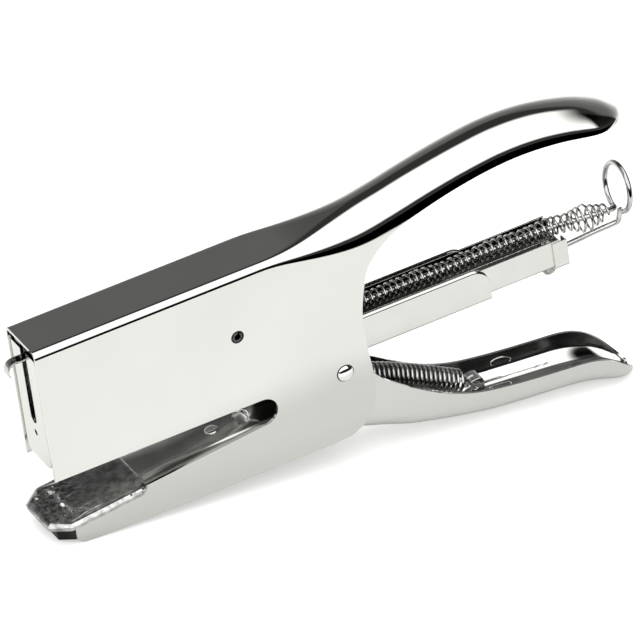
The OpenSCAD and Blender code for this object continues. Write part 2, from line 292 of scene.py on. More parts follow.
def tidy(mesh, weld):
    """Welds doubles, drops slivers and turns every island of faces outward."""
    bm = bmesh.new()
    bm.from_mesh(mesh)
    bmesh.ops.remove_doubles(bm, verts=bm.verts, dist=weld)
    bmesh.ops.dissolve_degenerate(bm, edges=bm.edges, dist=weld / 2)
    bmesh.ops.recalc_face_normals(bm, faces=bm.faces)
    middle = sum((v.co for v in bm.verts), Vector()) / len(bm.verts)
    for part in islands(bm.faces):
        if sum(f.normal.dot(f.calc_center_median() - middle) * f.calc_area() for f in part) < 0:
            bmesh.ops.reverse_faces(bm, faces=part)
    bm.to_mesh(mesh)
    bm.free()


def fill(outline, holes=(), inner=()):
    """Triangles that fill an outline less its holes; inner points are kept as vertices."""
    verts = [Vector(p) for p in outline]
    faces = [list(range(len(outline)))]
    rings = [list(outline)]
    for hole in holes:
        start = len(verts)
        verts += [Vector(p) for p in hole]
        faces.append(list(range(start, start + len(hole))))
        rings.append(list(hole))
    edges = []
    for face in faces:
        edges += [(face[i], face[(i + 1) % len(face)]) for i in range(len(face))]
    verts += [Vector(p) for p in inner]
    out_v, _, out_f, _, _, _ = delaunay_2d_cdt(verts, edges, [], 0, 1e-6)

    def inside(p, ring):
        hit = False
        for (x0, y0), (x1, y1) in zip(ring, ring[1:] + ring[:1]):
            if (y0 > p[1]) != (y1 > p[1]) and p[0] < x0 + (x1 - x0) * (p[1] - y0) / (y1 - y0):
                hit = not hit
        return hit

    keep = []
    for f in out_f:
        c = sum((out_v[i] for i in f), Vector((0, 0))) / len(f)
        if inside(c, rings[0]) and not any(inside(c, ring) for ring in rings[1:]):
            keep.append(list(f))
    return [tuple(v) for v in out_v], keep


def channel_row(x, half, base, rim, corner, up=1, steps=8, floor=5):
    """Cross-section of a sheet channel at x, rim to rim; corner is (width, height), up=1 opens upwards."""
    ry = max(min(corner[0], half), 0.01)
    rz = max(min(corner[1], (rim - base) * up - 0.05), 0.01)
    foot = base + up * rz
    side = [(half, rim), (half, (rim + foot) / 2)]
    for i in range(steps + 1):
        a = math.pi / 2 * i / steps
        side.append((half - ry + ry * math.cos(a), foot - up * rz * math.sin(a)))
    inner = half - ry
    side += [(inner * (1 - i / floor), base) for i in range(1, floor)]
    row = side + [(0, base)] + [(-y, z) for y, z in reversed(side)]
    return [(x, y, z) for y, z in row]


def sweep(path, radius, sides=10):
    """Capped tube of round wire along a path of level places."""
    pts = [Vector(p) for p in path]
    n = len(pts)
    tangents = [(pts[min(i + 1, n - 1)] - pts[max(i - 1, 0)]).normalized() for i in range(n)]
    guide = Vector((0, 1, 0)) if abs(tangents[0].y) < 0.9 else Vector((0, 0, 1))
    normal = (guide - tangents[0] * guide.dot(tangents[0])).normalized()
    rows = []
    for i in range(n):
        normal = (normal - tangents[i] * normal.dot(tangents[i])).normalized()
        across = tangents[i].cross(normal)
        rows.append([pts[i] + radius * (math.cos(a) * normal + math.sin(a) * across)
                     for a in (2 * math.pi * k / sides for k in range(sides))])
    b = Build()
    b.rows([[tuple(p) for p in row] for row in rows], close=True)
    for row, centre in ((rows[0], pts[0]), (rows[-1], pts[-1])):
        b.add([tuple(p) for p in row] + [tuple(centre)],
              [[k, (k + 1) % sides, sides] for k in range(sides)])
    return b


def dense(path, step):
    """The same path with points no further apart than step."""
    out = []
    for a, b in zip(path, path[1:]):
        a, b = Vector(a), Vector(b)
        n = max(int((b - a).length / step), 1)
        out += [tuple(a.lerp(b, i / n)) for i in range(n)]
    return out + [tuple(path[-1])]


def lathe(profile, centre, axis, sides=40):
    """Turned piece: profile lists (radius, height) from the axis outwards and along it."""
    axis = Vector(axis).normalized()
    guide = Vector((1, 0, 0)) if abs(axis.x) < 0.9 else Vector((0, 1, 0))
    u = (guide - axis * guide.dot(axis)).normalized()
    v = axis.cross(u)
    centre = Vector(centre)
    rows = [[tuple(centre + axis * h + max(r, 1e-4) * (math.cos(a) * u + math.sin(a) * v))
             for a in (2 * math.pi * k / sides for k in range(sides))] for r, h in profile]
    b = Build()
    b.rows(rows, close=True)
    return b


def dome(radius, rise, skirt=0.25, steps=9):
    """Profile of a domed rivet head with a small rounded skirt."""
    return ([(radius - 0.05, -0.3), (radius, 0), (radius, skirt)]
            + [(radius * math.cos(a), skirt + rise * math.sin(a))
               for a in (math.pi / 2 * i / steps for i in range(1, steps + 1))])


# ---------- materials ----------
# light and dark tone, roughness, size of the tone patches, then scratches and bump

def node(tree, kind, **values):
    """New shader node with the given input values or properties."""
    n = tree.nodes.new(kind)
    for key, value in values.items():
        if key in n.inputs:
            n.inputs[key].default_value = value
        else:
            setattr(n, key, value)
    return n


def smooth_range(tree, value, start, end, low=0.0, high=1.0):
    """Smooth step of a socket's value, from low at start to high at end."""
    step = tree.nodes.new("ShaderNodeMapRange")
    step.interpolation_type = "SMOOTHSTEP"
    step.inputs["From Min"].default_value = start
    step.inputs["From Max"].default_value = end
    step.inputs["To Min"].default_value = low
    step.inputs["To Max"].default_value = high
    tree.links.new(value, step.inputs["Value"])
    return step.outputs[0]


def maths(tree, operation, *values):
    """Math node; each value is a socket or a number."""
    out = node(tree, "ShaderNodeMath", operation=operation)
    for slot, value in zip(out.inputs, values):
        if isinstance(value, (int, float)):
            slot.default_value = value
        else:
            tree.links.new(value, slot)
    return out.outputs[0]


def metal(name, light, dark, rough, patch, scratch=0.02, bump=0.02, hollow_darkening=0.0):
    """Plated metal: slow tone drift, fine grain and scratches in roughness and bump, darker crevices."""
    mat = bpy.data.materials.new(name)
    mat.use_nodes = True
    tree = mat.node_tree
    tree.nodes.clear()
    link = tree.links.new
    out = tree.nodes.new("ShaderNodeOutputMaterial")
    bsdf = node(tree, "ShaderNodeBsdfPrincipled", Metallic=1.0)
    link(bsdf.outputs[0], out.inputs[0])
    coord = tree.nodes.new("ShaderNodeTexCoord")
    slow = node(tree, "ShaderNodeTexNoise", Scale=patch, Detail=3.0, Roughness=0.5)
    fine = node(tree, "ShaderNodeTexNoise", Scale=GRAIN, Detail=2.0, Roughness=0.6)
    stretch = tree.nodes.new("ShaderNodeMapping")
    stretch.inputs["Scale"].default_value = (0.06, 1.0, 1.0)
    lines = node(tree, "ShaderNodeTexNoise", Scale=GRAIN * 1.6, Detail=1.0, Roughness=0.5)
    link(coord.outputs["Object"], slow.inputs["Vector"])
    link(coord.outputs["Object"], fine.inputs["Vector"])
    link(coord.outputs["Object"], stretch.inputs["Vector"])
    link(stretch.outputs[0], lines.inputs["Vector"])
    tone = tree.nodes.new("ShaderNodeValToRGB")
    tone.color_ramp.elements[0].position = 0.35
    tone.color_ramp.elements[0].color = (*dark, 1)
    tone.color_ramp.elements[1].position = 0.62
    tone.color_ramp.elements[1].color = (*light, 1)
    link(slow.outputs["Fac"], tone.inputs[0])
    colour = tone.outputs[0]
    # darker in concave places, found by pointiness
    if hollow_darkening:
        edge = tree.nodes.new("ShaderNodeNewGeometry")
        pit = tree.nodes.new("ShaderNodeMapRange")
        pit.inputs["From Min"].default_value = 0.40
        pit.inputs["From Max"].default_value = 0.50
        pit.inputs["To Min"].default_value = 1.0 - hollow_darkening
        pit.inputs["To Max"].default_value = 1.0
        link(edge.outputs["Pointiness"], pit.inputs["Value"])
        mix = node(tree, "ShaderNodeMix", data_type="RGBA", blend_type="MULTIPLY")
        mix.inputs["Factor"].default_value = 1.0
        link(colour, mix.inputs["A"])
        link(pit.outputs[0], mix.inputs["B"])
        colour = mix.outputs["Result"]
    link(colour, bsdf.inputs["Base Color"])
    link(maths(tree, "MULTIPLY_ADD", lines.outputs["Fac"], scratch, rough), bsdf.inputs["Roughness"])
    relief = node(tree, "ShaderNodeBump", Strength=bump, Distance=0.0002)
    grit = maths(tree, "ADD", fine.outputs["Fac"], lines.outputs["Fac"])
    link(grit, relief.inputs["Height"])
    link(relief.outputs[0], bsdf.inputs["Normal"])
    return mat


CHROME = metal("polished_chrome", (0.70, 0.70, 0.67), (0.68, 0.68, 0.65), 0.035, 35, bump=0.012)
# the frame's chrome in a brighter copy for the lower handle: painted light that lifts its dimmer sides
LIT_HANDLE_CHROME = metal("handle_chrome_lit_copy", (0.74, 0.74, 0.715), (0.70, 0.70, 0.675), 0.04, 30, bump=0.015)
MAGAZINE = metal("magazine_plate", (0.66, 0.66, 0.63), (0.62, 0.62, 0.59), 0.06, 60, bump=0.02)
WIRE = metal("bright_wire", (0.62, 0.62, 0.61), (0.50, 0.50, 0.49), 0.09, 160, bump=0.03)
SPRING = metal("spring_wire", (0.64, 0.64, 0.63), (0.42, 0.42, 0.41), 0.07, 220, scratch=0.08, bump=0.03)
ANVIL = metal("worn_anvil", (0.62, 0.62, 0.61), (0.30, 0.30, 0.29), 0.10, 420, scratch=0.2, bump=0.15,
              hollow_darkening=0.5)
JAW = metal("jaw_steel", (0.66, 0.66, 0.64), (0.50, 0.50, 0.49), 0.16, 90, scratch=0.1, bump=0.05)
INNER = metal("inner_steel", (0.60, 0.60, 0.59), (0.46, 0.46, 0.45), 0.22, 120, scratch=0.12, bump=0.06)
# SHADED: painted shade, near-black plating that stands in for the dark reflections inside the channels and
# for the shade in the stop pin's hole
SHADED = metal("painted_shade_dark", (0.10, 0.10, 0.10), (0.04, 0.04, 0.04), 0.16, 90, scratch=0.1, bump=0.05)
# painted shadow, near black: the recess under the anvil cap and the gaps round the pivot rivet and the stop
# pin
PAINTED_SHADOW = metal("painted_shadow_black", (0.05, 0.05, 0.05), (0.02, 0.02, 0.02), 0.3, 90, scratch=0.1, bump=0.05)
RIVET = metal("rivet_chrome", (0.90, 0.90, 0.89), (0.84, 0.84, 0.83), 0.05, 140, bump=0.02)

# ---------- outlines in the level drawing ----------
# TOP, UNDER and REAR bound the upper handle and the head's back; GRIP_UNDER and GRIP_RIM the lower handle

TIP_X = 181.0
GRIP_TIP_X = 174.3
SEAM_Z = 28.0
TOP = smooth([(HEAD_FLAT, HEAD_TOP), (80, HEAD_TOP + 0.1), (93, HEAD_TOP + 1.6), (106, HEAD_TOP + 4),
              (118, HEAD_TOP + 6.6), (131, HEAD_TOP + 8.9), (143, HEAD_TOP + 10.19), (155, HEAD_TOP + 9.59),
              (167, HEAD_TOP + 6.8), (176, HEAD_TOP + 3), (TIP_X, HEAD_TOP - 0.6)], 8)
UNDER = smooth([(TIP_X, 39.4), (171, 39.9), (159, 42.1), (147, 43), (135, 42.1), (122, 39.6), (110, 36),
                (103.3, 32.2), (NECK, SEAM_Z)], 8)
REAR = smooth([(103.3, 32.2), (NECK, SEAM_Z), (96.4, 21), (94.8, 12), (95, 2), (95.7, -8.7), (94.8, -15),
               (92, -19.8), (87, -22.7)], 8)[8:]
GRIP_UNDER = smooth([(85, -21.5), (92, -24.8), (99, -27.2), (107, -29.7), (118.4, -32.6), (130, -34.9),
                     (142, -36.2), (156, -37.7), (164.5, -39.9), (170, -41.9), (GRIP_TIP_X, -43.2)], 8)
GRIP_RIM = smooth([(93, -3.5), (95.8, -6.4), (100, -11), (111.4, -19), (118.5, -22.9), (126, -25.5),
                   (134.7, -27.1), (143.4, -28.2), (151.2, -29), (159, -29.9), (164.5, -31.8),
                   (169.5, -35.6), (GRIP_TIP_X, -41.4)], 8)


# ---------- frame ----------

def frame_shell():
    """Head, upper handle and jaw walls: one pressing with rolled top edges."""
    b = Build()

    def half_width(x):
        if x <= start:
            return HALF
        return max(HALF * math.sqrt(max(1 - ((x - start) / 11) ** 2, 0)), 0.02)

    def corner(x, drop):
        grow = ease(x, HEAD_FLAT + 2, NECK + 4)
        return 2.0 + 6.8 * grow, min(2.0 + 7.2 * grow, drop - 0.1)

    start = TIP_X - 11
    xs = (stations(0, HEAD_FLAT, 6) + stations(HEAD_FLAT, NECK, 1.5)[1:] + stations(NECK, start, 1.25)[1:]
          + round_end(start, TIP_X - 0.02))
    rows = []
    for x in xs:
        top = height(TOP, x) if x > HEAD_FLAT else HEAD_TOP
        low = height(UNDER, x) if x > NECK else SEAM_Z
        rows.append(channel_row(x, half_width(x), top, low, corner(x, top - low), up=-1, steps=14))
    b.rows(rows)
    seam = [(x, SEAM_Z) for x in xs if x <= NECK + 0.001]
    outline = (seam + REAR[1:] + [(81, -23.2), (40, -23.2), (15.7, -22.9)]
               + arc((6.4, -19.5), 3, 260, 180, 8) + [(3.4, jaw_z(3.4))]
               + arc(THROAT, THROAT_R, -90, 90, 20) + [(0, -0.5)])
    holes = [arc(STOP_PIN, 1.55, 0, 345, 23), arc(PIVOT, 2.0, 0, 345, 23)]
    pts, faces = fill(outline, holes)
    for side in (1, -1):
        b.add([(x, side * HALF, z) for x, z in pts], faces)
    b.make("frame_shell_pressing", "frame", CHROME, ["frame_shell"], thickness=SHEET, bevel=0.16)


def jaw_channel():
    """Channel between the jaw walls, with the lift spring's hole in its web."""
    b = Build()
    half = HALF - SHEET
    outline = [(4.4, -half), (79, -half), (79, half), (4.4, half)]
    grid = [(x, y) for x in (20, 35, 50, 62, 66) for y in (-6, -2, 2, 6)]
    pts, faces = fill(outline, [arc((59.2, 0), 2.6, 0, 345, 23)], grid)
    line = [(4.4, jaw_z(4.4)), (61, jaw_z(61)), (66, -9.2), (79, -9.2)]
    b.add([(x, y, height(line, x)) for x, y in pts], faces)
    for side in (1, -1):
        b.rows([[(x, side * half, height(line, x) - d) for x in (4.4, 20, 40, 61, 66, 79)]
                for d in (0, 3, 6)])
    ear, faces = fill([(72, -9.3), (79, -9.3), (84.5, -6), (90.4, -6), (91, -7), (91, -11.5), (86, -17),
                       (72, -17)], [arc(ANCHOR, 1.25, 0, 345, 17)])
    for side in (1, -1):
        b.add([(x, side * 6.2, z) for x, z in ear], faces)
    b.make("jaw_channel_pressing", "frame", JAW, ["jaw_channel"], thickness=1.0, bevel=0.15)


ANVIL_CORNERS = [(26, -8.9), (23.5, -11.3), (1.5, -11.3), (-3.6, -6.8), (-3.6, 6.8), (1.5, 11.3),
                 (23.5, 11.3), (26, 8.9)]
ANVIL_ROUNDING = [0.4, 0.5, 1.6, 1.6, 1.6, 1.6, 0.5, 0.4]
ANVIL_DEPTHS = [0, 0.12, 0.3, 0.6, 1.0, 1.5]


def anvil_loop(inset):
    """Rounded outline of the anvil cap, drawn in by inset."""
    out = []
    n = len(ANVIL_CORNERS)
    for i in range(n):
        p = Vector(ANVIL_CORNERS[i])
        a = (Vector(ANVIL_CORNERS[i - 1]) - p).normalized()
        c = (Vector(ANVIL_CORNERS[(i + 1) % n]) - p).normalized()
        half_angle = math.acos(max(min(a.dot(c), 1), -1)) / 2
        bisector = (a + c).normalized()
        r = max(ANVIL_ROUNDING[i] - inset, 0.15)
        centre = p + bisector * ((r + inset) / math.sin(half_angle))
        ends = []
        for edge in (a, c):
            across = Vector((edge.y, -edge.x))
            foot = across * r * (1 if across.dot(bisector) < 0 else -1)
            ends.append(math.atan2(foot.y, foot.x))
        turn = (ends[1] - ends[0] + math.pi) % (2 * math.pi) - math.pi
        angles = [ends[0] + turn * k / 4 for k in range(5)]
        out += [(centre.x + r * math.cos(t), centre.y + r * math.sin(t)) for t in angles]
    return out


def anvil_top(x, y, inset):
    """Height of the worn anvil: rounded rim, two pockets, a cross groove and dents at the front."""
    z = 1.1 - 0.85 * (1 - min(inset / 1.5, 1)) ** 2.2
    for side in (-1, 1):
        u, v = (x - 3.3) / 1.5, (y - side * 3.7) / 3.1
        q = u * u + v * v
        z -= 0.8 * max(1 - q, 0) ** 0.7
        z += 0.16 * math.exp(-((q - 1.2) / 0.35) ** 2)
    z -= 0.25 * math.exp(-((x + 0.4) / 0.5) ** 2) * (abs(y) < 6.5)
    wear = 1 - ease(x, 6, 14)
    z += wear * 0.22 * noise.noise(Vector((x * 0.8, y * 0.8, 0)))
    z += (0.03 + 0.10 * wear) * noise.noise(Vector((x * 2.3, y * 2.3, 4)))
    return z


def on_jaw(build):
    """Moves a build from the anvil's own plane onto the sloping jaw."""
    tilt = Matrix.Translation((0, 0, JAW_FRONT_TOP)) @ Matrix.Rotation(-JAW_SLOPE, 4, "Y")
    build.verts = [tuple(tilt @ Vector(v)) for v in build.verts]
    return build


def anvil_edge(ring):
    """Bright roll under the front and side edges."""
    lip = [(x, y, -0.45) for x, y in ring if x < 18.6]
    gap = max(range(len(lip)), key=lambda i: (Vector(lip[i]) - Vector(lip[i - 1])).length)
    lip = lip[gap:] + lip[:gap]
    roll = on_jaw(sweep(dense(lip, 0.8), 0.6, sides=16))
    roll.make("anvil_rolled_edge", "frame", RIVET, smooth_angle=60)


def anvil_underside():
    """Dark block between the cap and the jaw: painted shadow for the recess under the cap."""
    b = Build()
    b.rows([[(x, y, z) for x, y in anvil_loop(2.35)] for z in (-0.4, -2.0, -5.5)], close=True)
    on_jaw(b).make("anvil_underside", "frame", PAINTED_SHADOW)


def anvil_clips():
    """Small tabs that hold the cap at its rear."""
    for x in (19.4, 23.0):
        for side in (-1, 1):
            path = [(x - 1.1, side * 9.9, 0.1), (x - 0.9, side * 10.4, 0.5), (x + 0.9, side * 10.4, 0.5),
                    (x + 1.1, side * 9.9, 0.1)]
            name = "anvil_clip_%s_%d" % ("near" if side < 0 else "far", round(x))
            on_jaw(sweep(path, 0.6, sides=16)).make(name, "frame", RIVET, smooth_angle=60)


def anvil_plate():
    """Worn cap over the jaw's nose, with rolled edges and two staple-forming pockets."""
    rings = [anvil_loop(d) for d in ANVIL_DEPTHS]
    b = Build()
    b.rows([[(x, y, z) for x, y in rings[0]] for z in (-0.7, -0.3, 0.25)], close=True)
    b.rows([[(x, y, anvil_top(x, y, d)) for x, y in ring] for ring, d in zip(rings, ANVIL_DEPTHS)],
           close=True)
    inner = [(-1.8 + 0.38 * i, -8.6 + 0.42 * j) for i in range(34) for j in range(42)]
    inner = [q for q in inner if q[0] + 1.2 > abs(q[1]) - 6.6]
    inner += [(12 + 1.8 * i, -9 + 1.8 * j) for i in range(7) for j in range(11)]
    pts, faces = fill(rings[-1], [], inner)
    b.add([(x, y, anvil_top(x, y, ANVIL_DEPTHS[-1])) for x, y in pts], faces)
    anvil_edge(rings[3])
    anvil_underside()
    anvil_clips()
    on_jaw(b).make("anvil_cap", "frame", ANVIL, ["anvil_plate"], smooth_angle=40)


def nose_guide():
    """Front plate with the driver slot, and its two flanges inside the head."""
    b = Build()
    round_r = 2.5
    low = GUIDE_HALF - round_r
    outline = [(-GUIDE_HALF, GUIDE_TOP)] + arc((-low, 4.3), round_r, 180, 270, 8)
    outline += arc((low, 4.3), round_r, 270, 360, 8) + [(GUIDE_HALF, GUIDE_TOP), (SLOT_HALF, GUIDE_TOP)]
    outline += arc((0, SLOT_FOOT), SLOT_HALF, 0, -180, 10) + [(-SLOT_HALF, GUIDE_TOP)]
    pts, faces = fill(outline, [arc((0, 10.8), 0.9, 0, 340, 17)])
    b.add([(GUIDE_X, y, z) for y, z in pts], faces)
    flange = [(GUIDE_X, 6.7), (0.72, 7.1), (1.0, 7.35), (1.5, 7.42), (9, 7.42)]
    for side in (1, -1):
        b.rows([[(x, side * y, z) for z in (5, GUIDE_TOP)] for x, y in flange])
    b.make("nose_guide_plate", "frame", CHROME, ["nose_guide"], thickness=0.7, offset=0, bevel=0.12)


def rivets():
    """Domed rivet heads, and dark rings of painted shadow for the gap round the pivot rivet and the stop
    pin.
    """
    b = Build()
    for side in (-1, 1):
        part = lathe(dome(PIVOT_HEAD_R, 0.85, 0.2), (PIVOT[0], side * HALF, PIVOT[1]), (0, side, 0))
        b.add(part.verts, part.faces)
    shank = lathe([(2.0, -HALF), (2.0, HALF)], (PIVOT[0], 0, PIVOT[1]), (0, 1, 0))
    b.add(shank.verts, shank.faces)
    b.make("pivot_rivet_domed", "frame", RIVET, ["pivot_rivet"])
    # painted shadow: dark rings for the gaps round the pivot rivet head and the stop pin
    b = Build()
    for centre, inner, outer in ((PIVOT, PIVOT_HEAD_R - 0.05, 2.62), (STOP_PIN, PIN_R, 1.95)):
        for side in (-1, 1):
            ring = lathe([(inner, 0), (inner, 0.1), (outer - 0.1, 0.1), (outer, 0)],
                         (centre[0], side * (HALF - 0.03), centre[1]), (0, side, 0))
            b.add(ring.verts, ring.faces)
    b.make("rivet_gap_shadow_rings", "frame", PAINTED_SHADOW, smooth_angle=60)
    head = lathe(dome(1.9, 0.5, 0.15), (50, 0, jaw_z(50)), (-math.sin(JAW_SLOPE), 0, math.cos(JAW_SLOPE)))
    head.make("lift_rivet_domed", "frame", RIVET, ["lift_rivet"])
    grip = lathe(dome(2.0, 0.75, 0.1), (157.4, 0, -36.95), (0.17, 0, 1))
    grip.make("grip_rivet_domed", "lower_handle", RIVET, ["grip_rivet"])


def stop_pin():
    """Rolled tubular pin with a slit along it."""
    gap = 14
    ring = [(PIN_R, a) for a in range(gap, 361 - gap, 8)]
    ring += [(PIN_BORE, a) for a in range(360 - gap, gap - 1, -8)]
    b = Build()
    rows = []
    for y, shrink in ((-HALF - 0.1, 0.12), (-HALF, 0), (HALF, 0), (HALF + 0.1, 0.12)):
        row = []
        for r, a in ring:
            size = r - (shrink if r == PIN_R else -shrink)
            turn = math.radians(a + 70)
            row.append((STOP_PIN[0] + size * math.cos(turn), y, STOP_PIN[1] + size * math.sin(turn)))
        rows.append(row)
    b.rows(rows, close=True)
    n = len(ring)
    half = n // 2
    for row in (rows[0], rows[-1]):
        faces = [[i, i + 1, n - 2 - i, n - 1 - i] for i in range(half - 1)]
        b.add(row, faces)
    # SHADED paints the pin near black: painted shade for the hole it sits in
    b.make("stop_pin_rolled", "frame", SHADED, ["stop_pin"])


def strip(path, width, thickness, name, body, material, replaces):
    """Sheet strip of constant width along a path of (x, z) places."""
    b = Build()
    b.rows([[(x, y, z) for y in (-width / 2, 0, width / 2)] for x, z in path])
    b.make(name, body, material, replaces, thickness=thickness, offset=0, bevel=thickness * 0.25)


def lift_spring():
    """Leaf under the jaw channel that curls up through its hole."""
    centre = (58.3, jaw_z(58.3) + 0.95)
    path = [(44, jaw_z(44) - 1.2), (52, jaw_z(52) - 1.2)] + arc(centre, 2.15, -88, 118, 26)
    strip(path, 4, 0.4, "lift_spring_leaf", "frame", RIVET, ["lift_spring"])


# ---------- lower handle ----------

def lower_handle():
    """U-shaped grip with a spoon tip, and the two cheeks that reach up inside the head."""
    b = Build()

    def half_width(x):
        flare = CHEEK_HALF + (HALF - CHEEK_HALF) * ease(x, 96.5, 106)
        start = GRIP_TIP_X - 9
        if x > start:
            flare *= math.sqrt(max(1 - ((x - start) / 9.02) ** 2, 0.0001))
        return flare

    xs = stations(85, GRIP_TIP_X - 9, 1.2) + round_end(GRIP_TIP_X - 9, GRIP_TIP_X - 0.12)
    rows = []
    for x in xs:
        rim = height(GRIP_RIM, x) if x > 93.6 else 4.0
        base = height(GRIP_UNDER, x)
        corner = (5.8, 5.6 - 1.6 * ease(x, 158, 172))
        rows.append(channel_row(x, half_width(x), base, rim, corner, steps=12, floor=6))
    b.rows(rows)
    cheek = [(67.5, 15.4), (67.5, 20.2), (92, 20.6), (93.4, 17), (93.6, 3), (85, 3), (85, -17), (81.5, -8),
             (81, 3), (79, 10)]
    pts, faces = fill(cheek, [arc((71, 17.8), 1.5, 0, 340, 17), arc((86, 17.8), 1.5, 0, 340, 17)])
    for side in (1, -1):
        b.add([(x, side * CHEEK_HALF, z) for x, z in pts], faces)
    # the steep inner walls get SHADED: painted shade for the dark reflections inside the grip
    b.make("lower_handle_pressing", "lower_handle", LIT_HANDLE_CHROME, ["lower_handle"],
           thickness=CHEEK_SHEET, bevel=0.16, inside=SHADED)


def grip_dimple():
    """Pressed oval on the inside of the grip's far wall."""
    mark = []
    for k in range(25):
        a = math.radians(15 * k)
        mark.append((GRIP_MARK_X + 3.1 * math.cos(a), HALF - CHEEK_SHEET - 0.02,
                     height(GRIP_RIM, GRIP_MARK_X) - 3.1 - 0.5 * math.cos(a) + 1.3 * math.sin(a)))
    sweep(mark, 0.22, sides=8).make("lower_handle_dimple", "lower_handle", LIT_HANDLE_CHROME, smooth_angle=60)


def spring_tab():
    """Tab with the eye for the rear hook of the return spring."""
    b = Build()
    outline = ([(125.7, -33.2), (125.7, -27.2)] + arc((127.2, -27.2), 1.5, 180, 90, 6)
               + arc((128.5, -27.2), 1.5, 90, 0, 6) + [(130, -34)])
    pts, faces = fill(outline, [arc(EYE, 1.25, 0, 340, 17)])
    b.add([(x, 0, z) for x, z in pts], faces)
    b.make("spring_tab_bent", "lower_handle", RIVET, ["spring_tab"], thickness=4.6, offset=0, bevel=0.5)


def coil(a, c, radius, pitch, bow, per_turn):
    """Helix between two places (x, z) in the middle plane; bow gives the shift of its centre."""
    a, c = Vector((a[0], 0, a[1])), Vector((c[0], 0, c[1]))
    run = c - a
    along = run.normalized()
    side = Vector((0, 1, 0))
    up = along.cross(side)
    turns = run.length / pitch
    n = int(turns * per_turn)
    path = []
    for i in range(n + 1):
        t = i / n
        angle = 2 * math.pi * turns * t
        lift = bow(t) + radius * math.sin(angle)
        path.append(a + run * t + up * lift + side * (radius * math.cos(angle)))
    return path


def return_spring():
    """Extension spring with a hook at each end, hung between the jaw's anchor and the grip's tab."""
    start, end = Vector(ANCHOR), Vector(EYE)
    along = (end - start).normalized()
    a, c = start + along * 4.4, end - along * 4.0
    wire = 0.43
    radius = 3.45 - wire
    pitch = 1.5
    body = coil(a, c, radius, pitch, lambda t: BOW * math.sin(math.pi * t ** 0.7), 18)
    up = Vector((-along.y, along.x))

    def hook(centre, toward, ring):
        pts = []
        for k in range(15):
            ang = math.radians(-60 + 300 * k / 14)
            d = -toward * math.cos(ang) + up * math.sin(ang)
            pts.append(Vector((centre.x + ring * d.x, 0, centre.y + ring * d.y)))
        return pts

    first = hook(start, along, 2.0)
    last = hook(end, -along, 1.9)
    path = first[:-1] + [Vector((a.x - along.x, 0.8, a.y - along.y))] + body
    path += [Vector((c.x + along.x, 0.8, c.y + along.y))] + last[::-1][:-1]
    b = sweep(smooth([tuple(p) for p in path[:16]], 2)[:-1] + [tuple(p) for p in body]
              + smooth([tuple(p) for p in path[-15:]], 2), wire, sides=10)
    obj = b.make("return_spring_coil", None, SPRING, ["return_spring"], smooth_angle=60, weld=1e-5)
    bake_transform(obj)


# ---------- driver ----------

def driver_hook():
    """Curled finger in front of the nose."""
    path = [(12, 35.35), (-1.6, 35.35)] + arc((-2.6, 32.85), 2.5, 88, 215, 18)
    strip(path, 3, 0.6, "driver_hook_strip", "driver", WIRE, ["driver_hook"])


# ---------- magazine ----------

def turned_in(row, radius):
    """A channel row with both top edges rolled inward."""
    def roll(x, y, z):
        side = 1 if y > 0 else -1
        turn = [math.radians(15 * k) for k in range(1, 8)]
        return [(x, y - side * radius * (1 - math.cos(a)), z + radius * math.sin(a)) for a in turn]
    return roll(*row[0])[::-1] + list(row) + roll(*row[-1])


def magazine_channel():
    """Outer channel with rolled top edges, nose cheeks and the ears of its pivot."""
    b = Build()
    rim = [(MAG_FRONT, MAG_TOP), (128.5, MAG_TOP)] + arc((128.9, 6.5), 5, 88, 4, 14) + [(MAG_END, 5.8)]
    xs = stations(MAG_FRONT, 128, 6) + stations(128, MAG_END - 0.1, 0.45)[1:]
    rows = []
    for x in xs:
        roll = 0.1 + 0.8 * ease(x, 8, 11)
        row = channel_row(x, MAG_HALF, MAG_FLOOR, height(rim, x) - roll, (MAG_ROLL, MAG_ROLL), steps=6)
        rows.append(turned_in(row, roll))
    b.rows(rows)
    nose = [(2.15, MAG_FLOOR), (MAG_FRONT, MAG_FLOOR), (MAG_FRONT, 8), (2.15, 8)]
    ear = arc(PIVOT, 4, 180, 360, 16) + [(PIVOT[0] + 4, 1.6), (PIVOT[0] - 4, 1.6)]
    for outline, holes in ((nose, []), (ear, [arc(PIVOT, 2.05, 0, 345, 23)])):
        pts, faces = fill(outline, holes)
        for side in (1, -1):
            b.add([(x, side * MAG_HALF, z) for x, z in pts], faces)
    # the steep inner walls get SHADED: painted shade for the dark reflections inside the magazine
    b.make("magazine_channel_pressing", "magazine", MAGAZINE, ["magazine_channel"],
           thickness=MAG_SHEET, bevel=0.1, inside=SHADED)


def magazine_rail():
    """Inner rail that shows behind the outer channel."""
    b = Build()
    half = MAG_HALF - MAG_SHEET
    b.rows([channel_row(x, half, RAIL_FLOOR, RAIL_TOP, (0.8, 0.8), steps=6) for x in stations(98.5, 156, 5)])
    # the steep inner walls get SHADED: painted shade for the dark reflections inside the rail
    b.make("magazine_rail_pressing", "magazine", MAGAZINE, ["magazine_rail"],
           thickness=0.5, bevel=0.1, inside=SHADED)


def rear_catch():
    """Clip round the rear end of the rail, with the hole for the latch leg."""
    b = Build()
    b.rows([channel_row(x, 7.0, 1.7, 10.2, (0.9, 0.9), steps=6) for x in stations(*CATCH_X, 0.55)])
    back = [(-6.4, 2.0), (6.4, 2.0), (6.4, 9.9), (4, 9.9), (4, 7.1), (-4, 7.1), (-4, 9.9), (-6.4, 9.9)]
    pts, faces = fill(back, [arc((0, 3.1), 1.2, 0, 340, 17)])
    b.add([(CATCH_X[1] - 0.05, y, z) for y, z in pts], faces)
    b.make("rear_catch_clip", "magazine", MAGAZINE, ["rear_catch"], thickness=0.5, bevel=0.1)


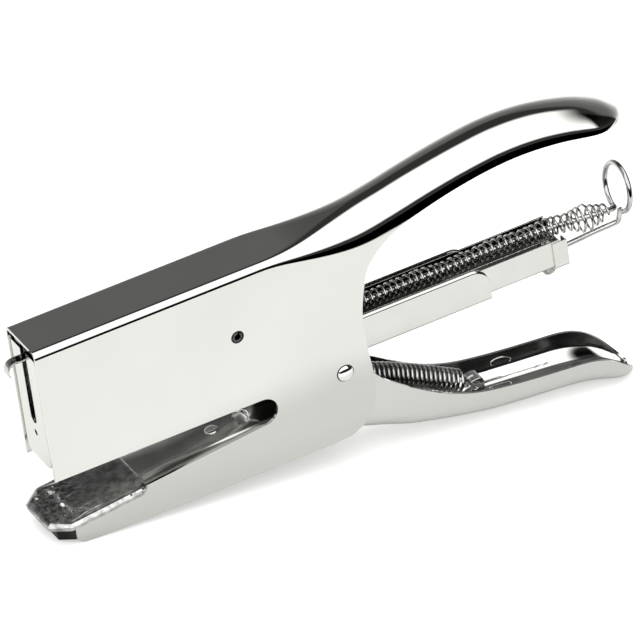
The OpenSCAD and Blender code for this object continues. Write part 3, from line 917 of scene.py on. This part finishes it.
def catch_hook():
    """Small curl under the rear of the rail."""
    path = [(151, 1.45), (CATCH_X[0], 1.45)] + arc((154, -0.5), 1.95, 90, -136, 24)
    strip(path, 4, 0.5, "catch_hook_curl", "magazine", MAGAZINE, ["catch_hook"])


# ---------- follower ----------

def rod_line(x):
    """Height of the follower rod and its spring."""
    return ROD_Z - 2.4 * ease(x, 148, 180)


def follower_rod():
    """One bent wire: rod, finger ring and latch leg."""
    lean = RING_LEAN
    rod = [(x, 0, rod_line(x)) for x in stations(7.2, 172, 6)]
    ring = []
    for k in range(49):
        a = math.radians(-90 + 352 * k / 48)
        u, v = RING_R * math.cos(a), RING_R * math.sin(a)
        pitch = 0.8 * (k / 48 - 0.5)
        ring.append((RING_C[0] + v * math.sin(lean) + pitch, u, RING_C[1] + v * math.cos(lean)))
    leg = [(176.9, -0.9, 6.4), (176.6, -0.6, 4.9), (175.2, -0.2, 4.2), (170, 0, 3.9), (158.6, 0, 3.1)]
    join = [(174.4, 0.3, 8.6)]
    path = rod + join + ring[1:] + leg
    b = sweep(smooth(path, 3), ROD_R, sides=12)
    b.make("follower_wire", "follower", WIRE, ["follower_rod"], smooth_angle=60, weld=1e-5)


def follower_spring():
    """Thin coil spring round the rod, slack and bulging near the ring."""
    wire = 0.38
    start, end = 18.6, 173.6
    pitch = 1.95
    turns = (end - start) / pitch
    per_turn = 14
    n = int(turns * per_turn)
    path = []
    for i in range(n + 1):
        t = i / n
        x = start + (end - start) * t
        phase = 2 * math.pi * turns * t
        slack = ease(x, 100, 120)
        r = 1.95 + 0.2 * ease(x, 100, 110)
        r += 0.12 * slack * math.sin(0.55 * x) + 0.1 * slack * math.sin(1.7 * x)
        r += 0.5 * math.exp(-((x - 156.5) / 3.2) ** 2) + 1.6 * math.exp(-((x - 167) / 3.2) ** 2)
        shift = 0.3 * slack * math.sin(0.23 * x + 1.0) - 0.35 * math.exp(-((x - 168) / 4) ** 2)
        shift += 0.5 * math.exp(-((x - 157) / 4) ** 2)
        x += 0.22 * slack * math.sin(0.9 * x)
        z = rod_line(x) + shift + r * math.sin(phase)
        path.append((x + 0.35 * math.sin(phase), r * math.cos(phase), z))
    b = sweep(path, wire, sides=8)
    obj = b.make("follower_spring_coil", None, SPRING, ["follower_spring"], smooth_angle=60, weld=1e-6)
    level(start, 0, ROD_Z)
    level(end - 1, 0, rod_line(end))
    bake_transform(obj)


# ---------- CAD nodes that keep their shape ----------

def finish_cad(names, material):
    """Gives CAD nodes that keep their shape a better material."""
    for name in names:
        obj = frame["nodes"][name]
        obj.data.materials.clear()
        obj.data.materials.append(material)


# ---------- camera, light and floor ----------

def camera():
    """Long lens at the reference angle: the axes are given in the level drawing."""
    right = Vector((0.882, -0.454, -0.1275)).normalized()
    up = Vector((0.3528, 0.454, 0.818))
    up = (up - right * up.dot(right)).normalized()
    back = right.cross(up)
    distance = 4.0
    sensor = 36.0
    target = right * VIEW_MIDDLE[0] + up * VIEW_MIDDLE[1]
    depth = back.dot(Vector((88, 9, 8)))
    target += back * (depth - back.dot(target))
    focus = level(target.x, target.y - HALF, target.z)
    turn = Matrix.Rotation(-PITCH, 3, "Y")
    axes = Matrix((turn @ right, turn @ up, turn @ back)).transposed()
    data = bpy.data.cameras.new("camera")
    data.sensor_width = sensor
    data.lens = 1000 * distance * sensor / VIEW_WIDTH
    data.clip_start = 0.05
    data.clip_end = 40
    obj = bpy.data.objects.new("camera", data)
    bpy.context.scene.collection.objects.link(obj)
    obj.matrix_world = Matrix.Translation(focus + (turn @ back) * distance) @ axes.to_4x4()
    bpy.context.scene.camera = obj


def stops(ramp, places):
    """Sets a grey colour ramp to (position, brightness) places."""
    while len(ramp.elements) < len(places):
        ramp.elements.new(0.5)
    for e, (pos, val) in zip(ramp.elements, places):
        e.position = pos
        e.color = (val, val, val, 1)


def studio():
    """Soft studio: bright panel in front, dark behind, black overhead in reflections, white to the eye."""
    world = bpy.data.worlds.new("studio")
    bpy.context.scene.world = world
    world.use_nodes = True
    tree = world.node_tree
    tree.nodes.clear()
    link = tree.links.new
    out = tree.nodes.new("ShaderNodeOutputWorld")
    light = tree.nodes.new("ShaderNodeBackground")
    coord = tree.nodes.new("ShaderNodeTexCoord")
    split = tree.nodes.new("ShaderNodeSeparateXYZ")
    link(coord.outputs["Generated"], split.inputs[0])
    panel = None
    for axis, (dark, bright) in (("X", (0.64, 0.50)), ("Y", (0.38, 0.20)), ("Z", (0.15, 0.27))):
        part = smooth_range(tree, split.outputs[axis], dark, bright)
        panel = maths(tree, "MULTIPLY", panel, part) if panel else part
    far = tree.nodes.new("ShaderNodeValToRGB")
    stops(far.color_ramp, [(0.0, 0.8), (0.17, 0.45), (0.34, 0.24), (0.5, 0.165), (0.60, 0.15), (0.68, 0.04),
                           (0.75, 0.04)])
    link(split.outputs["Z"], far.inputs[0])
    behind = smooth_range(tree, split.outputs["Y"], -0.05, 0.15, low=0.07)
    room = node(tree, "ShaderNodeMix", data_type="RGBA", blend_type="MULTIPLY")
    room.inputs["Factor"].default_value = 1.0
    link(far.outputs[0], room.inputs["A"])
    link(behind, room.inputs["B"])
    mix = node(tree, "ShaderNodeMix", data_type="RGBA")
    mix.inputs["B"].default_value = (PANEL, PANEL, PANEL, 1.0)
    link(panel, mix.inputs["Factor"])
    link(room.outputs["Result"], mix.inputs["A"])
    link(mix.outputs["Result"], light.inputs["Color"])
    plain = node(tree, "ShaderNodeBackground", Color=(1.0, 1.0, 1.0, 1.0))
    seen = tree.nodes.new("ShaderNodeLightPath")
    both = tree.nodes.new("ShaderNodeMixShader")
    link(seen.outputs["Is Camera Ray"], both.inputs[0])
    link(light.outputs[0], both.inputs[1])
    link(plain.outputs[0], both.inputs[2])
    link(both.outputs[0], out.inputs[0])


def reflected_darkness(tree, place):
    """How dark the floor looks in reflections: black past the table's edge, a little grey close by."""
    edge = smooth_range(tree, place.outputs["Y"], *TABLE_EDGE)
    across = maths(tree, "ABSOLUTE", place.outputs["Y"])
    ahead = maths(tree, "MINIMUM", place.outputs["X"], NEAR_TURN)
    reach = maths(tree, "MULTIPLY_ADD", ahead, -NEAR_SLANT, across)
    near = smooth_range(tree, reach, *NEAR_FLOOR, low=NEAR_SHADE, high=0.0)
    return maths(tree, "MAXIMUM", edge, near)


def floor_material():
    """Pale paper; in reflections it ends at the table's edge."""
    mat = bpy.data.materials.new("floor_paper")
    mat.use_nodes = True
    tree = mat.node_tree
    link = tree.links.new
    bsdf = tree.nodes["Principled BSDF"]
    bsdf.inputs["Roughness"].default_value = 0.9
    bsdf.inputs["Specular IOR Level"].default_value = 0.1
    bsdf.inputs["Emission Color"].default_value = (1.0, 1.0, 0.99, 1.0)
    coord = tree.nodes.new("ShaderNodeTexCoord")
    mottle = node(tree, "ShaderNodeTexNoise", Scale=6.0, Detail=2.0)
    ramp = tree.nodes.new("ShaderNodeValToRGB")
    ramp.color_ramp.elements[0].color = (0.92, 0.92, 0.91, 1)
    ramp.color_ramp.elements[1].color = (0.95, 0.95, 0.94, 1)
    link(coord.outputs["Object"], mottle.inputs["Vector"])
    link(mottle.outputs["Fac"], ramp.inputs[0])
    link(ramp.outputs[0], bsdf.inputs["Base Color"])
    place = tree.nodes.new("ShaderNodeSeparateXYZ")
    link(coord.outputs["Object"], place.inputs[0])
    seen = tree.nodes.new("ShaderNodeLightPath")
    glow = maths(tree, "MULTIPLY_ADD", seen.outputs["Is Camera Ray"], FLOOR_LIFT, FLOOR_GLOW)
    link(glow, bsdf.inputs["Emission Strength"])
    shade = maths(tree, "MULTIPLY", reflected_darkness(tree, place), seen.outputs["Is Glossy Ray"])
    dark = node(tree, "ShaderNodeEmission", Strength=0.0)
    both = tree.nodes.new("ShaderNodeMixShader")
    link(shade, both.inputs[0])
    link(bsdf.outputs[0], both.inputs[1])
    link(dark.outputs[0], both.inputs[2])
    link(both.outputs[0], tree.nodes["Material Output"].inputs[0])
    return mat


def floor():
    """Wide plain floor under the object."""
    b = Build()
    size = 3.0
    n = 12
    b.rows([[(-size + 2 * size * i / n, -size + 2 * size * j / n, 0) for i in range(n + 1)]
            for j in range(n + 1)])
    mesh = bpy.data.meshes.new("floor")
    mesh.from_pydata(b.verts, [], b.faces)
    mesh.materials.append(floor_material())
    obj = bpy.data.objects.new("floor", mesh)
    bpy.context.scene.collection.objects.link(obj)


def key_light():
    """Wide soft light from above that only lights the floor and the matt surfaces."""
    sun = bpy.data.lights.new("key", "SUN")
    sun.energy = 0.55
    sun.angle = math.radians(60)
    obj = bpy.data.objects.new("key", sun)
    obj.rotation_euler = (math.radians(-18), math.radians(-12), 0)
    obj.visible_glossy = False
    bpy.context.scene.collection.objects.link(obj)


camera()
studio()
floor()
key_light()
frame_shell()
jaw_channel()
anvil_plate()
nose_guide()
rivets()
stop_pin()
lift_spring()
lower_handle()
grip_dimple()
spring_tab()
return_spring()
driver_hook()
magazine_channel()
magazine_rail()
rear_catch()
catch_hook()
follower_rod()
follower_spring()
finish_cad(["spring_anchor", "drive_lever", "lever_spacers", "lever_rivets", "driver_blade",
            "driver_carrier", "blade_rivets", "magazine_nose", "staple_core", "core_rivets", "pivot_spacer",
            "staple_pusher"], INNER)
bpy.context.scene.view_settings.view_transform = "Standard"
